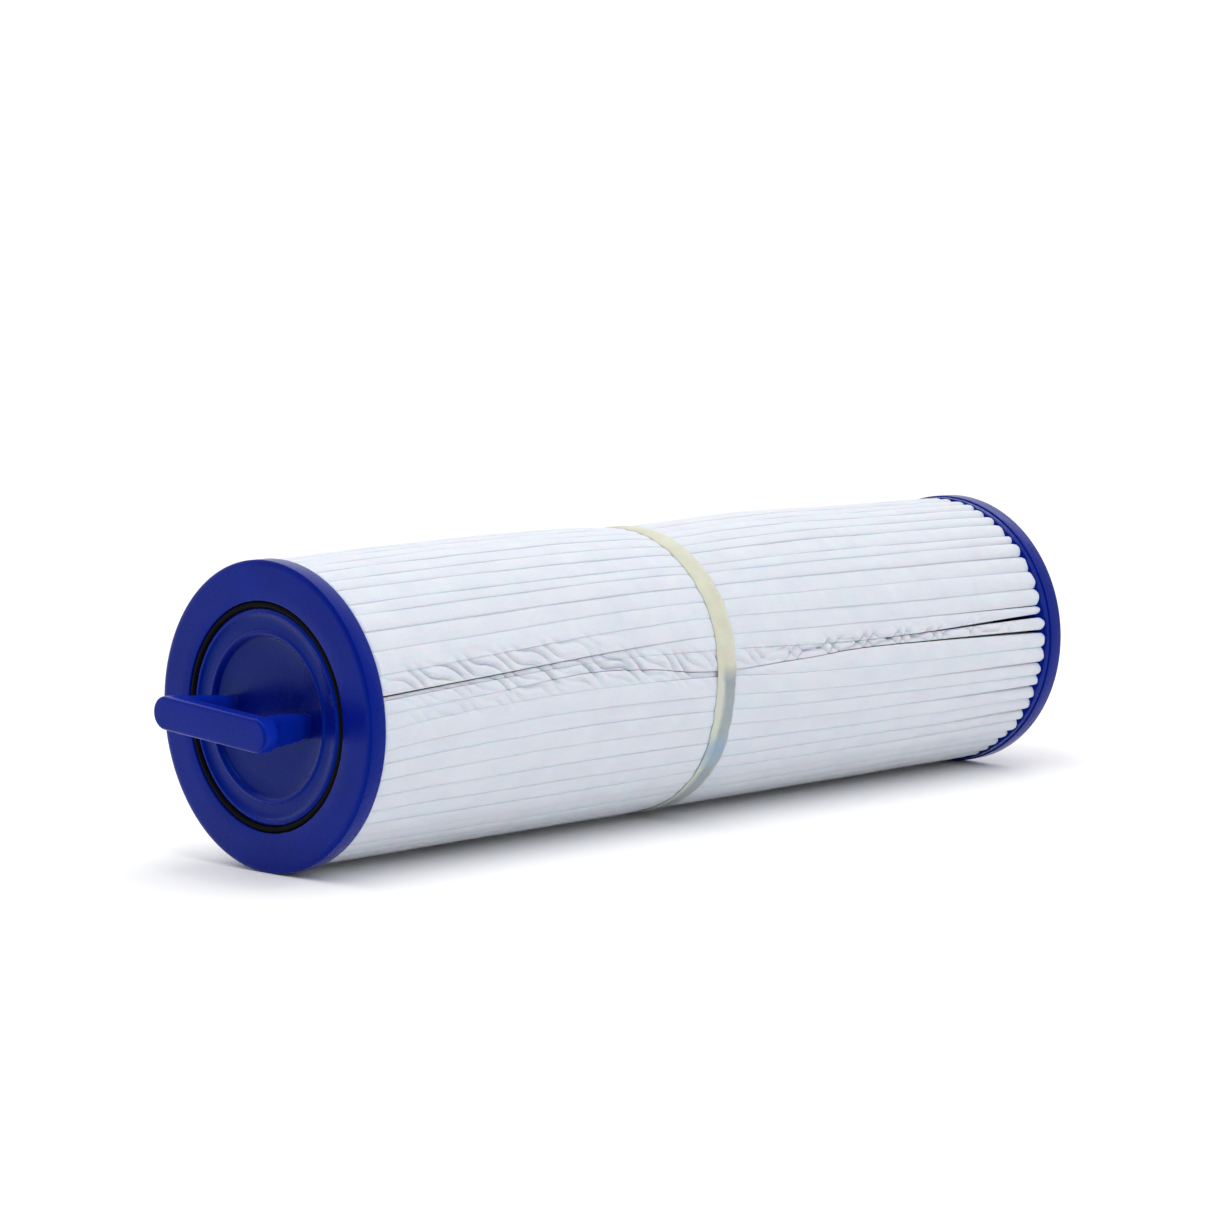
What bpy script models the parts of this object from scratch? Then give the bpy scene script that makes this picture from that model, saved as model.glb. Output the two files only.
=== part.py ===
"""Pleated spa filter cartridge: two moulded end caps, a folded fleece pack on a
perforated core, a grip handle at one end and a threaded outlet at the other.

The cartridge lies on its side. X runs along its axis, handle end at -X and outlet at +X.
Z = 0 is the surface that the two cap rims rest on. Lengths below are in millimetres and
are scaled to metres where the meshes are made. "Depth" is measured along the axis from an
end cap's outer face towards the middle of the cartridge. A turned piece's radius is the
distance from the axis to its flats, so the caps stand on a true flat.
"""
import math

import bmesh
import bpy
from mathutils import Matrix, Vector

MM = 0.001
GAP = 0.3                      # clearance between pieces that touch

# Driving dimensions of the whole cartridge
BODY_LENGTH = 431.8            # outer face to outer face of the two caps
CAP_RADIUS = 62.7
GRIP_STANDOFF = 29.0           # front of the grip ahead of the cap face
OUTLET_LENGTH = 27.0           # threaded spigot beyond the rear cap face
SIDES = 48                     # flats around the large turned pieces
CORE_SIDES = 24                # flats around the core and the outlet

# End caps
CAP_SKIRT = 8.2                # width of the visible rim
CAP_EASE_WIDTH = 2.8           # the face's rounded edge, measured across the face
CAP_EASE_DEPTH = 0.9           # and along the axis
CAP_POCKET_RADIUS = 61.0       # the pleat ends sit inside this lip
CAP_POCKET_DEPTH = 6.5
EDGE_BREAK = 0.4

# Seal ring and the handle disc inside it
RING_RADIUS = 44.9             # centre line of the ring
RING_THICKNESS = 2.6
RING_DEPTH = 1.4               # depth of the ring's centre
DISC_RADIUS = 43.3
DISC_EDGE_DEPTH = 0.9
DISC_FLOOR_DEPTH = 2.8
DISC_BACK_DEPTH = 5.0
DISC_FLOOR_RADIUS = 31.4
BEAD_CENTRE = (2.0, 33.8)      # depth and radius of the inner bead's own centre
BEAD_RADIUS = 1.2
GROOVE_DEPTH = 1.5
GROOVE_RADII = (35.6, 39.9)
LIP_CENTRE = (1.4, 41.8)
LIP_RADIUS = 0.9
COLLAR_RADIUS = 29.9           # collar that plugs the core
COLLAR_WALL = 2.8
COLLAR_END_DEPTH = 16.0

# Grip handle: a bar on two legs whose feet stand in slots in the disc
GRIP_TURN = math.radians(4.3)  # the grip sits a little off level
GRIP_HALF_LENGTH = 34.0
GRIP_HALF_HEIGHT = 6.8         # also the radius of the bar's rounded ends
GRIP_BAR_DEPTH = 7.5
GRIP_EDGE = 1.3                # rounding of the bar's front and back edges
# Leg sections: depth, inner and outer distance from the middle, half height
LEG_SECTIONS = ((-24.0, 23.0, 30.0, 5.9), (-20.6, 22.0, 29.6, 6.1), (-17.5, 20.6, 28.4, 6.2),
                (-10.0, 19.5, 27.2, 6.0), (-2.0, 18.9, 26.2, 5.4))
FOOT_HALF_HEIGHT = 5.0
FOOT_OUTER = 25.8
FOOT_INNER = 18.6
LEG_ROUND = 1.8
TONGUE_INSET = 1.0
TONGUE_DEPTH = 4.1

# Core, in sections that plug into each other
CORE_SECTIONS = 4
CORE_RADIUS = 33.0
CORE_BORE = 30.5
CORE_SPIGOT = 3.0
CORE_STEP = 31.6               # outer radius of the spigot
WINDOWS_AROUND = 8
WINDOW_ROWS = 4
WINDOW_WIDTH = 6.4
WINDOW_LENGTH = 17.0

# Pleated fleece pack, drawn as a fluted tube
PACK_RADIUS = 60.5
PACK_BORE = 33.6
FLUTES = 56
FLUTE_DEPTH = 2.4

# Glued seam where the two ends of the fleece meet
SEAM_ANGLE = math.radians(9.0)     # above the level line, on the -Y side
SEAM_THICKNESS = 1.6
SEAM_INNER = 48.0
SEAM_OUTER = 58.6

# Band around the middle of the pack
BAND_CENTRE_DEPTH = 207.0
BAND_WIDTH = 12.0
BAND_INNER = 60.9
BAND_OUTER = 61.8
BAND_CROWN = 0.25              # how much lower the band's edges are than its middle
BAND_SHOULDER = 2.0

# Threaded outlet
OUTLET_BORE = 19.0
FLANGE_RADIUS = 37.9
FLANGE_DEPTH = 3.5
FLANGE_THICKNESS = 2.4
OUTLET_COLLAR_RADIUS = 30.1
OUTLET_COLLAR_END = 14.0
OUTLET_STEP = 2.0              # the bore starts this far inside the flange's back
NECK_RADIUS = 24.1
NECK_LENGTH = 1.0
TIP_RADIUS = 21.8
THREAD_START = 2.0             # ahead of the rear cap's face
THREAD_CREST = 24.0
THREAD_HEIGHT = 1.2
THREAD_PITCH = 2.2
THREAD_TURNS = 9
THREAD_ROWS = 4                # mesh rows per turn
THREAD_TAPER = 1.0 / 32.0      # radius lost per unit of length

TOTAL_LENGTH = GRIP_STANDOFF + BODY_LENGTH + OUTLET_LENGTH
FRONT_FACE_X = GRIP_STANDOFF - TOTAL_LENGTH / 2.0
REAR_FACE_X = FRONT_FACE_X + BODY_LENGTH
PACK_END_DEPTH = CAP_POCKET_DEPTH + GAP

BLUE = (0.012, 0.040, 0.300)
DEEP_BLUE = (0.014, 0.038, 0.260)
BLACK = (0.010, 0.010, 0.011)
WHITE = (0.800, 0.820, 0.850)
CREAM = (0.720, 0.720, 0.600)
CORE_WHITE = (0.700, 0.720, 0.740)


def clear_scene():
    for item in list(bpy.data.objects):
        bpy.data.objects.remove(item, do_unlink=True)


def plastic(name, colour, roughness):
    """A plain Principled material."""
    material = bpy.data.materials.new(name)
    material.use_nodes = True
    shader = material.node_tree.nodes["Principled BSDF"]
    shader.inputs["Base Color"].default_value = (*colour, 1.0)
    shader.inputs["Roughness"].default_value = roughness
    shader.inputs["Metallic"].default_value = 0.0
    return material


def front(depth):
    """X of a point at this depth behind the handle end's face."""
    return FRONT_FACE_X + depth


def rear(depth):
    """X of a point at this depth in from the outlet end's face."""
    return REAR_FACE_X - depth


def arc(centre, radius, start_deg, end_deg, steps):
    """Points on an arc of a profile, as (depth, radius) pairs, ends included."""
    points = []
    for i in range(steps + 1):
        angle = math.radians(start_deg + (end_deg - start_deg) * i / steps)
        points.append((centre[0] + radius * math.cos(angle), centre[1] + radius * math.sin(angle)))
    return points


def add_object(name, bm, material, parent=None, sharp_deg=35.0):
    """Scale to metres, shade, and link the mesh under the axis empty."""
    bmesh.ops.scale(bm, vec=(MM, MM, MM), verts=bm.verts)
    bmesh.ops.recalc_face_normals(bm, faces=bm.faces)
    mesh = bpy.data.meshes.new(name)
    bm.to_mesh(mesh)
    bm.free()
    mesh.shade_smooth()
    mesh.set_sharp_from_angle(angle=math.radians(sharp_deg))
    mesh.materials.append(material)
    item = bpy.data.objects.new(name, mesh)
    bpy.context.collection.objects.link(item)
    item.parent = parent
    return item


def ring_mesh(rows, closed_ends):
    """Join equal rows of points into a skin. The last row meets the first unless
    closed_ends is set, and then each end is capped with one face."""
    bm = bmesh.new()
    loops = [[bm.verts.new(point) for point in row] for row in rows]
    count = len(rows[0])
    pairs = list(zip(loops, loops[1:]))
    if not closed_ends:
        pairs.append((loops[-1], loops[0]))
    for low, high in pairs:
        for i in range(count):
            j = (i + 1) % count
            bm.faces.new((low[i], low[j], high[j], high[i]))
    if closed_ends:
        bm.faces.new(loops[0])
        bm.faces.new(loops[-1])
    return bm


def circle_row(x, flat_radius, sides):
    """One row of a turned piece, with a flat facing down."""
    radius = flat_radius / math.cos(math.pi / sides)
    row = []
    for i in range(sides):
        angle = 2.0 * math.pi * (i + 0.5) / sides
        row.append((x, radius * math.cos(angle), radius * math.sin(angle)))
    return row


def turned(name, profile, place, material, parent, sides=SIDES):
    """Turn a closed (depth, radius) profile about the axis."""
    rows = [circle_row(place(depth), radius, sides) for depth, radius in profile]
    return add_object(name, ring_mesh(rows, False), material, parent)


def box_mesh(bm, low, high, turn=0.0):
    """Add a box to bm, turned about the X axis."""
    made = bmesh.ops.create_cube(bm, size=1.0)["verts"]
    size = Vector(high) - Vector(low)
    middle = (Vector(high) + Vector(low)) / 2.0
    move = Matrix.Rotation(turn, 4, "X") @ Matrix.Translation(middle)
    bmesh.ops.transform(bm, matrix=move @ Matrix.Diagonal((*size, 1.0)), verts=made)


def combine(target, bm, name, operation):
    """Join bm to target, or take it out, with a Boolean that stays on target."""
    other = add_object(name, bm, target.data.materials[0], target.parent)
    other.hide_render = True
    other.display_type = "WIRE"
    modifier = target.modifiers.new(name, "BOOLEAN")
    modifier.operation = operation
    modifier.solver = "EXACT"
    modifier.object = other


def cut(target, bm, name):
    combine(target, bm, name, "DIFFERENCE")


def cap_rim():
    """The part of a cap's profile that both ends share, from face to pocket wall."""
    points = [(CAP_EASE_DEPTH * (1.0 + along), CAP_RADIUS + CAP_EASE_WIDTH * (out - 1.0))
              for along, out in arc((0.0, 0.0), 1.0, 180.0, 90.0, 4)]
    points += [(CAP_SKIRT - EDGE_BREAK, CAP_RADIUS), (CAP_SKIRT, CAP_RADIUS - EDGE_BREAK)]
    points += [(CAP_SKIRT, CAP_POCKET_RADIUS), (CAP_POCKET_DEPTH, CAP_POCKET_RADIUS)]
    return points


def handle_end_cap(parent, material):
    ring_wall = RING_RADIUS + RING_THICKNESS / 2.0 + GAP
    ring_floor = RING_DEPTH + RING_THICKNESS / 2.0 + GAP
    disc_floor = DISC_BACK_DEPTH + GAP
    profile = [(EDGE_BREAK, ring_wall), (0.0, ring_wall + EDGE_BREAK)] + cap_rim()
    profile += [(CAP_POCKET_DEPTH, CORE_BORE), (disc_floor, CORE_BORE)]
    profile += [(disc_floor, DISC_RADIUS + GAP), (ring_floor, DISC_RADIUS + GAP)]
    profile += [(ring_floor, ring_wall)]
    turned("handle_end_cap", profile, front, material, parent)


def rear_end_cap(parent, material):
    hole = NECK_RADIUS + 2.0 * GAP
    flange_seat = FLANGE_DEPTH - GAP
    flange_wall = FLANGE_RADIUS + 2.0 * GAP
    profile = [(EDGE_BREAK, hole), (0.0, hole + EDGE_BREAK)] + cap_rim()
    profile += [(CAP_POCKET_DEPTH, flange_wall), (flange_seat, flange_wall), (flange_seat, hole)]
    turned("rear_end_cap", profile, rear, material, parent)


def seal_ring(parent, material):
    profile = arc((RING_DEPTH, RING_RADIUS), RING_THICKNESS / 2.0, 0.0, 315.0, 7)
    turned("seal_ring", profile, front, material, parent)


def handle_disc(parent, material):
    """Round plate with a raised lip and an inner bead; its collar plugs the core."""
    outline = [(DISC_FLOOR_DEPTH, DISC_FLOOR_RADIUS)]
    outline += arc(BEAD_CENTRE, BEAD_RADIUS, 240.0, 110.0, 5)
    outline += [(GROOVE_DEPTH, radius) for radius in GROOVE_RADII]
    outline += arc(LIP_CENTRE, LIP_RADIUS, 250.0, 150.0, 3)
    outline += [(DISC_EDGE_DEPTH, DISC_RADIUS), (DISC_BACK_DEPTH, DISC_RADIUS)]
    outline += [(DISC_BACK_DEPTH, COLLAR_RADIUS), (COLLAR_END_DEPTH, COLLAR_RADIUS)]
    outline += [(COLLAR_END_DEPTH, COLLAR_RADIUS - COLLAR_WALL)]
    outline += [(DISC_BACK_DEPTH, COLLAR_RADIUS - COLLAR_WALL)]
    rows = [circle_row(front(depth), radius, SIDES) for depth, radius in outline]
    disc = add_object("handle_disc", ring_mesh(rows, True), material, parent)
    slots = bmesh.new()
    for side in (-1.0, 1.0):
        near, far = sorted((side * (FOOT_INNER + TONGUE_INSET - GAP),
                            side * (FOOT_OUTER - TONGUE_INSET + GAP)))
        reach = FOOT_HALF_HEIGHT - TONGUE_INSET + GAP
        low = (front(DISC_FLOOR_DEPTH - 1.0), near, -reach)
        high = (front(TONGUE_DEPTH + GAP), far, reach)
        box_mesh(slots, low, high, GRIP_TURN)
    cut(disc, slots, "foot_slots")


def bar_row(depth, shrink):
    """One row of the bar: a level outline with round ends, shrunk by this much."""
    radius = GRIP_HALF_HEIGHT - shrink
    straight = GRIP_HALF_LENGTH - GRIP_HALF_HEIGHT
    row = []
    for side, start in ((1.0, -90.0), (-1.0, 90.0)):
        for i in range(13):
            angle = math.radians(start + 15.0 * i)
            row.append((front(depth), side * straight + radius * math.cos(angle),
                        radius * math.sin(angle)))
    return row


def grip_bar():
    """The bar of the grip, rounded along its front and back edges."""
    face, back = -GRIP_STANDOFF, GRIP_BAR_DEPTH - GRIP_STANDOFF
    rows = [bar_row(face + GRIP_EDGE - out, GRIP_EDGE - up)
            for up, out in arc((0.0, 0.0), GRIP_EDGE, 90.0, 0.0, 3)]
    rows += [bar_row(back - GRIP_EDGE + out, GRIP_EDGE - up)
             for up, out in arc((0.0, 0.0), GRIP_EDGE, 0.0, 90.0, 3)]
    return ring_mesh(rows, True)


def leg_row(depth, inner, outer, half_height, side):
    """One rounded rectangle of a leg, in a plane across the axis."""
    middle = (inner + outer) / 2.0
    across = (outer - inner) / 2.0 - LEG_ROUND
    up = half_height - LEG_ROUND
    row = []
    for y, z, start in ((across, up, 0.0), (-across, up, 90.0), (-across, -up, 180.0), (across, -up, 270.0)):
        for i in range(4):
            angle = math.radians(start + 30.0 * i)
            row.append((front(depth), side * (middle + y + LEG_ROUND * math.cos(angle)),
                        z + LEG_ROUND * math.sin(angle)))
    return row


def grip_leg(side):
    """A leg from inside the bar down to the disc, ending in the tongue that enters it."""
    foot = DISC_FLOOR_DEPTH - GAP
    rows = [leg_row(*section, side) for section in LEG_SECTIONS]
    rows.append(leg_row(foot, FOOT_INNER, FOOT_OUTER, FOOT_HALF_HEIGHT, side))
    for depth in (foot, TONGUE_DEPTH):
        rows.append(leg_row(depth, FOOT_INNER + TONGUE_INSET, FOOT_OUTER - TONGUE_INSET,
                            FOOT_HALF_HEIGHT - TONGUE_INSET, side))
    return ring_mesh(rows, True)


def grip_handle(parent, material):
    """Flat-fronted bar with round ends, joined to two legs that taper to the disc."""
    turn = Matrix.Rotation(GRIP_TURN, 3, "X")
    bar = grip_bar()
    bmesh.ops.rotate(bar, matrix=turn, verts=bar.verts)
    grip = add_object("grip_handle", bar, material, parent, 30.0)
    for side, name in ((-1.0, "grip_leg_near"), (1.0, "grip_leg_far")):
        leg = grip_leg(side)
        bmesh.ops.rotate(leg, matrix=turn, verts=leg.verts)
        combine(grip, leg, name, "UNION")


def pleated_media(parent, material):
    """The folded fleece pack as one fluted tube with a slot for its glued seam."""
    rows = []
    ends = (front(PACK_END_DEPTH), rear(PACK_END_DEPTH))
    for x in ends:
        row = []
        for i in range(2 * FLUTES):
            angle = math.pi * (i + 0.5) / FLUTES
            radius = PACK_RADIUS - FLUTE_DEPTH * (i % 2)
            row.append((x, radius * math.cos(angle), radius * math.sin(angle)))
        rows.append(row)
    for x in reversed(ends):
        rows.append(circle_row(x, PACK_BORE, 2 * FLUTES))
    media = add_object("pleated_media", ring_mesh(rows, False), material, parent, 10.0)
    slot = bmesh.new()
    half = SEAM_THICKNESS / 2.0 + GAP
    low = (front(0.0), -(PACK_RADIUS + 3.0), -half)
    high = (rear(0.0), -(SEAM_INNER - GAP), half)
    box_mesh(slot, low, high, -SEAM_ANGLE)
    cut(media, slot, "seam_slot")


def pleat_seam(parent, material):
    bm = bmesh.new()
    half = SEAM_THICKNESS / 2.0
    low = (front(PACK_END_DEPTH + GAP), -SEAM_OUTER, -half)
    high = (rear(PACK_END_DEPTH + GAP), -SEAM_INNER, half)
    box_mesh(bm, low, high, -SEAM_ANGLE)
    add_object("pleat_seam", bm, material, parent)


def centre_band(parent, material):
    start = BAND_CENTRE_DEPTH - BAND_WIDTH / 2.0
    end = start + BAND_WIDTH
    edge = BAND_OUTER - BAND_CROWN
    profile = [(start, BAND_INNER), (start, edge), (start + BAND_SHOULDER, BAND_OUTER)]
    profile += [(end - BAND_SHOULDER, BAND_OUTER), (end, edge), (end, BAND_INNER)]
    turned("centre_band", profile, front, material, parent)


def core_section(index, start, length, parent, material):
    """One perforated length of core. Its spigot enters the next section's socket."""
    end = start + length
    profile = []
    if index > 1:
        profile += [(start + CORE_SPIGOT + GAP, CORE_BORE), (start + CORE_SPIGOT + GAP, CORE_STEP + GAP)]
        profile += [(start, CORE_STEP + GAP), (start, CORE_RADIUS)]
    else:
        profile += [(start, CORE_BORE), (start, CORE_RADIUS)]
    profile += [(end, CORE_RADIUS)]
    if index < CORE_SECTIONS:
        profile += [(end, CORE_STEP), (end + CORE_SPIGOT, CORE_STEP), (end + CORE_SPIGOT, CORE_BORE)]
    else:
        profile += [(end, CORE_BORE)]
    name = f"core_section_{index}"
    section = turned(name, profile, front, material, parent, CORE_SIDES)
    windows = bmesh.new()
    pitch = (length - 2.0 * CORE_SPIGOT) / WINDOW_ROWS
    for row in range(WINDOW_ROWS):
        middle = start + 2.0 * CORE_SPIGOT + pitch * (row + 0.35)
        low = (front(middle - WINDOW_LENGTH / 2.0), CORE_BORE - 2.0, -WINDOW_WIDTH / 2.0)
        high = (front(middle + WINDOW_LENGTH / 2.0), CORE_RADIUS + 2.0, WINDOW_WIDTH / 2.0)
        for step in range(WINDOWS_AROUND):
            box_mesh(windows, low, high, 2.0 * math.pi * step / WINDOWS_AROUND)
    cut(section, windows, f"core_windows_{index}")


def core(parent, material):
    span = BODY_LENGTH - 2.0 * PACK_END_DEPTH
    length = (span - GAP * (CORE_SECTIONS - 1)) / CORE_SECTIONS
    for index in range(1, CORE_SECTIONS + 1):
        start = PACK_END_DEPTH + (index - 1) * (length + GAP)
        core_section(index, start, length, parent, material)


def thread_row(depth, sides):
    """One row of the outlet's outside where the thread is cut."""
    travelled = -THREAD_START - depth
    turns = travelled / THREAD_PITCH
    fade = max(0.0, min(1.0, turns, THREAD_TURNS - turns))
    crest = THREAD_CREST - THREAD_TAPER * travelled
    row = []
    for i in range(sides):
        angle = 2.0 * math.pi * (i + 0.5) / sides
        wave = 0.5 - 0.5 * math.cos(2.0 * math.pi * turns - angle)
        radius = (crest - THREAD_HEIGHT * (1.0 - fade * wave)) / math.cos(math.pi / sides)
        row.append((rear(depth), radius * math.cos(angle), radius * math.sin(angle)))
    return row


def threaded_outlet(parent, material):
    """Flange potted behind the rear cap, collar in the core, threaded spigot outside."""
    flange_back = FLANGE_DEPTH + FLANGE_THICKNESS
    inside = [(flange_back, FLANGE_RADIUS), (FLANGE_DEPTH, FLANGE_RADIUS)]
    inside += [(FLANGE_DEPTH, NECK_RADIUS), (-NECK_LENGTH, NECK_RADIUS)]
    rows = [circle_row(rear(depth), radius, CORE_SIDES) for depth, radius in inside]
    for step in range(THREAD_TURNS * THREAD_ROWS + 1):
        rows.append(thread_row(-THREAD_START - THREAD_PITCH * step / THREAD_ROWS, CORE_SIDES))
    bore_start = flange_back + OUTLET_STEP
    bore = [(-OUTLET_LENGTH, TIP_RADIUS), (-OUTLET_LENGTH, OUTLET_BORE), (bore_start, OUTLET_BORE)]
    bore += [(bore_start, OUTLET_COLLAR_RADIUS - COLLAR_WALL)]
    bore += [(OUTLET_COLLAR_END, OUTLET_COLLAR_RADIUS - COLLAR_WALL)]
    bore += [(OUTLET_COLLAR_END, OUTLET_COLLAR_RADIUS), (flange_back, OUTLET_COLLAR_RADIUS)]
    rows += [circle_row(rear(depth), radius, CORE_SIDES) for depth, radius in bore]
    add_object("threaded_outlet", ring_mesh(rows, False), material, parent)


def main():
    clear_scene()
    axis = bpy.data.objects.new("cartridge_axis", None)
    bpy.context.collection.objects.link(axis)
    axis.location = (0.0, 0.0, CAP_RADIUS * MM)

    cap_blue = plastic("cap_blue", BLUE, 0.42)
    handle_blue = plastic("handle_blue", DEEP_BLUE, 0.32)
    core_white = plastic("core_white", CORE_WHITE, 0.45)
    handle_end_cap(axis, cap_blue)
    rear_end_cap(axis, cap_blue)
    seal_ring(axis, plastic("seal_black", BLACK, 0.55))
    handle_disc(axis, handle_blue)
    grip_handle(axis, handle_blue)
    pleated_media(axis, plastic("fleece_white", WHITE, 0.90))
    pleat_seam(axis, plastic("seam_glue", CREAM, 0.50))
    centre_band(axis, plastic("band_cream", CREAM, 0.45))
    core(axis, core_white)
    threaded_outlet(axis, handle_blue)


main()
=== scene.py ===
"""Looks of the pleated spa filter cartridge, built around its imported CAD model.

X runs along the cartridge, grip end at -X and threaded outlet at +X, and Z = 0 is the floor.
Sizes are in metres. "Depth" is measured along the axis from an end cap's outer face towards
the middle. Angles round the axis are 0 on the -Y side, which faces the camera, and 90
degrees at the top.
"""
import math

import bmesh
import bpy
import numpy as np
from mathutils import Matrix, Vector


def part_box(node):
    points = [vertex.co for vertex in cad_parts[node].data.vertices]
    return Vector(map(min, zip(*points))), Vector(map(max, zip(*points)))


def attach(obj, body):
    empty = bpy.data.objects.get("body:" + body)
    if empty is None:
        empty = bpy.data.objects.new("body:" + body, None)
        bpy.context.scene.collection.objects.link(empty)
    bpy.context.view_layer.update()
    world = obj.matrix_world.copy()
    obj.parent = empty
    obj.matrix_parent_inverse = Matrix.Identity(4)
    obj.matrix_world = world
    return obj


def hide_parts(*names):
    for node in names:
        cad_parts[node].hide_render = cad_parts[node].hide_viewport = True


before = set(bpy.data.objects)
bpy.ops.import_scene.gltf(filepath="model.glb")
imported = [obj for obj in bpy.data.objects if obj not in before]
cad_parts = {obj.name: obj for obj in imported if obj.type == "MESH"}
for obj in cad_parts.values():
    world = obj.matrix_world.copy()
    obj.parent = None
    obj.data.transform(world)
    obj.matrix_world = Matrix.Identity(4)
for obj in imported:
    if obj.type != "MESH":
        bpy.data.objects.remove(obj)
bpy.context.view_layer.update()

MM = 0.001
BODY = "root"

# Places read from the frame: the low and high corners of a piece's box
CAP_LOW, CAP_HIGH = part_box("handle_end_cap")
REAR_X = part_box("rear_end_cap")[1].x
GRIP_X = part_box("grip_handle")[0].x
DISC_LOW, DISC_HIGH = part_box("handle_disc")
RING_LOW, RING_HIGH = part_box("seal_ring")
BAND_LOW, BAND_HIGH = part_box("centre_band")
CORE_LOW, CORE_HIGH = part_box("core_section_1")
OUTLET_LOW, OUTLET_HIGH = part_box("threaded_outlet")
AXIS = Vector((0.0, 0.0, (CAP_LOW.z + CAP_HIGH.z) / 2.0))
CAP_RADIUS = (CAP_HIGH.z - CAP_LOW.z) / 2.0
FRONT_X = CAP_LOW.x
BODY_LENGTH = REAR_X - FRONT_X
CAP_SKIRT = CAP_HIGH.x - CAP_LOW.x
BAND_X = (BAND_LOW.x + BAND_HIGH.x) / 2.0
BAND_WIDTH = BAND_HIGH.x - BAND_LOW.x

# End caps
CAP_SIDES = 448                # mesh sides round the axis, eight for each pleat
CAP_LIP = 61.0 * MM            # radius of the lip round the pleats
CAP_EASE_DEPTH = 0.9 * MM      # the face's outer edge is rounded this far along the axis
CAP_EASE_WIDTH = 2.8 * MM      # and this far along the radius
POTTING_BORE = 34.0 * MM       # radius where the pleats' inner folds begin
POTTING_DEPTH = 6.5 * MM       # back of the solid part of the cap
REAR_CLIMB = 3.0 * MM          # how far the potting covers the pleats at the outlet end

# Grip: half length and half height of its bar
GRIP_HALF_LENGTH = 34.0 * MM
GRIP_HALF_HEIGHT = 6.8 * MM
GRIP_BAR_DEPTH = 7.5 * MM
GRIP_EDGE = 1.2 * MM           # rounding of the bar's edges
GRIP_TILT = math.radians(4.3)
LEG_ROUND = 3.2 * MM           # rounding of the legs' corners
# Legs from inside the bar to the disc, in mm by depth: distance of the inner and the outer
# side from the axis, and half height
LEG_INNER = ((-25.0, 22.4), (-21.5, 21.8), (-19.0, 20.8), (-12.0, 19.7), (-3.0, 18.9), (1.6, 18.6),
             (2.75, 18.3))
LEG_OUTER = ((-25.0, 30.8), (-21.5, 30.6), (-17.0, 28.6), (-10.0, 27.3), (-3.0, 26.4), (1.6, 25.9),
             (2.75, 26.2))
LEG_UP = ((-25.0, 5.9), (-21.5, 6.3), (-17.0, 6.35), (-10.0, 6.1), (-3.0, 5.5), (1.6, 5.05), (2.75, 5.3))

# Pleats
PLEATS = 56
CREST_RADIUS = 60.9 * MM
VALLEY_RADIUS = 34.4 * MM
CLOTH_THICKNESS = 0.6 * MM
PLEAT_STATIONS = 480
SEED = 11

# Camera, at the photograph's angle
CAMERA_AZIMUTH = math.radians(44.28)
CAMERA_ELEVATION = math.radians(6.12)
CAMERA_DISTANCE = 1.750
CAMERA_LENS = 119.4
CAMERA_ROLL = 0.0045           # radians
SENSOR = 36.0
AIM_DEPTH = 215.0 * MM         # the camera aims to the left of and above this depth on the axis
AIM_LEFT = 14.0 * MM
AIM_UP = 26.7 * MM


# ---------------------------------------------------------------- mesh helpers

def link_mesh(name, points, faces, sharp_deg=40.0):
    """A smooth-shaded object from points in the row frame."""
    mesh = bpy.data.meshes.new(name)
    mesh.from_pydata([tuple(p) for p in points], [], faces)
    mesh.validate()
    mesh.shade_smooth()
    mesh.set_sharp_from_angle(angle=math.radians(sharp_deg))
    item = bpy.data.objects.new(name, mesh)
    bpy.context.scene.collection.objects.link(item)
    return item


def grid_faces(rows, columns, wrap_rows, wrap_columns):
    """Quads over a grid of points stored row by row."""
    faces = []
    for i in range(rows if wrap_rows else rows - 1):
        for j in range(columns if wrap_columns else columns - 1):
            a = i * columns + j
            b = i * columns + (j + 1) % columns
            c = (i + 1) % rows * columns + (j + 1) % columns
            d = (i + 1) % rows * columns + j
            faces.append((a, b, c, d))
    return faces


def point_out(item):
    """Turn all faces to point out."""
    bm = bmesh.new()
    bm.from_mesh(item.data)
    bmesh.ops.recalc_face_normals(bm, faces=bm.faces)
    bm.to_mesh(item.data)
    bm.free()


def polar(x, angle, radius):
    """A point at this angle round the axis."""
    return (x, -radius * math.cos(angle), AXIS.z + radius * math.sin(angle))


def arc(centre, radius, start_deg, end_deg, steps):
    """Points on an arc of an (x, radius) profile, ends included."""
    angles = [math.radians(start_deg + (end_deg - start_deg) * i / steps) for i in range(steps + 1)]
    return [(centre[0] + radius * math.cos(a), centre[1] + radius * math.sin(a)) for a in angles]


def turned(name, profile, sides=192, wobble=None, closed=True, sharp_deg=40.0):
    """Turn an (x, radius) profile about the axis. wobble(x, radius, angle) may move a
    point by a small (dx, dradius)."""
    points = []
    for x, radius in profile:
        for j in range(sides):
            angle = 2.0 * math.pi * j / sides
            dx, dr = wobble(x, radius, angle) if wobble else (0.0, 0.0)
            points.append(polar(x + dx, angle, radius + dr))
    faces = grid_faces(len(profile), sides, closed, True)
    if not closed:
        faces.append(tuple(range(sides)))
        last = (len(profile) - 1) * sides
        faces.append(tuple(range(last + sides - 1, last - 1, -1)))
    item = link_mesh(name, points, faces, sharp_deg)
    point_out(item)
    return item


def apply_modifiers(item):
    """Replace an object's mesh with its evaluated one."""
    graph = bpy.context.evaluated_depsgraph_get()
    mesh = bpy.data.meshes.new_from_object(item.evaluated_get(graph))
    item.modifiers.clear()
    item.data = mesh


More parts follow.
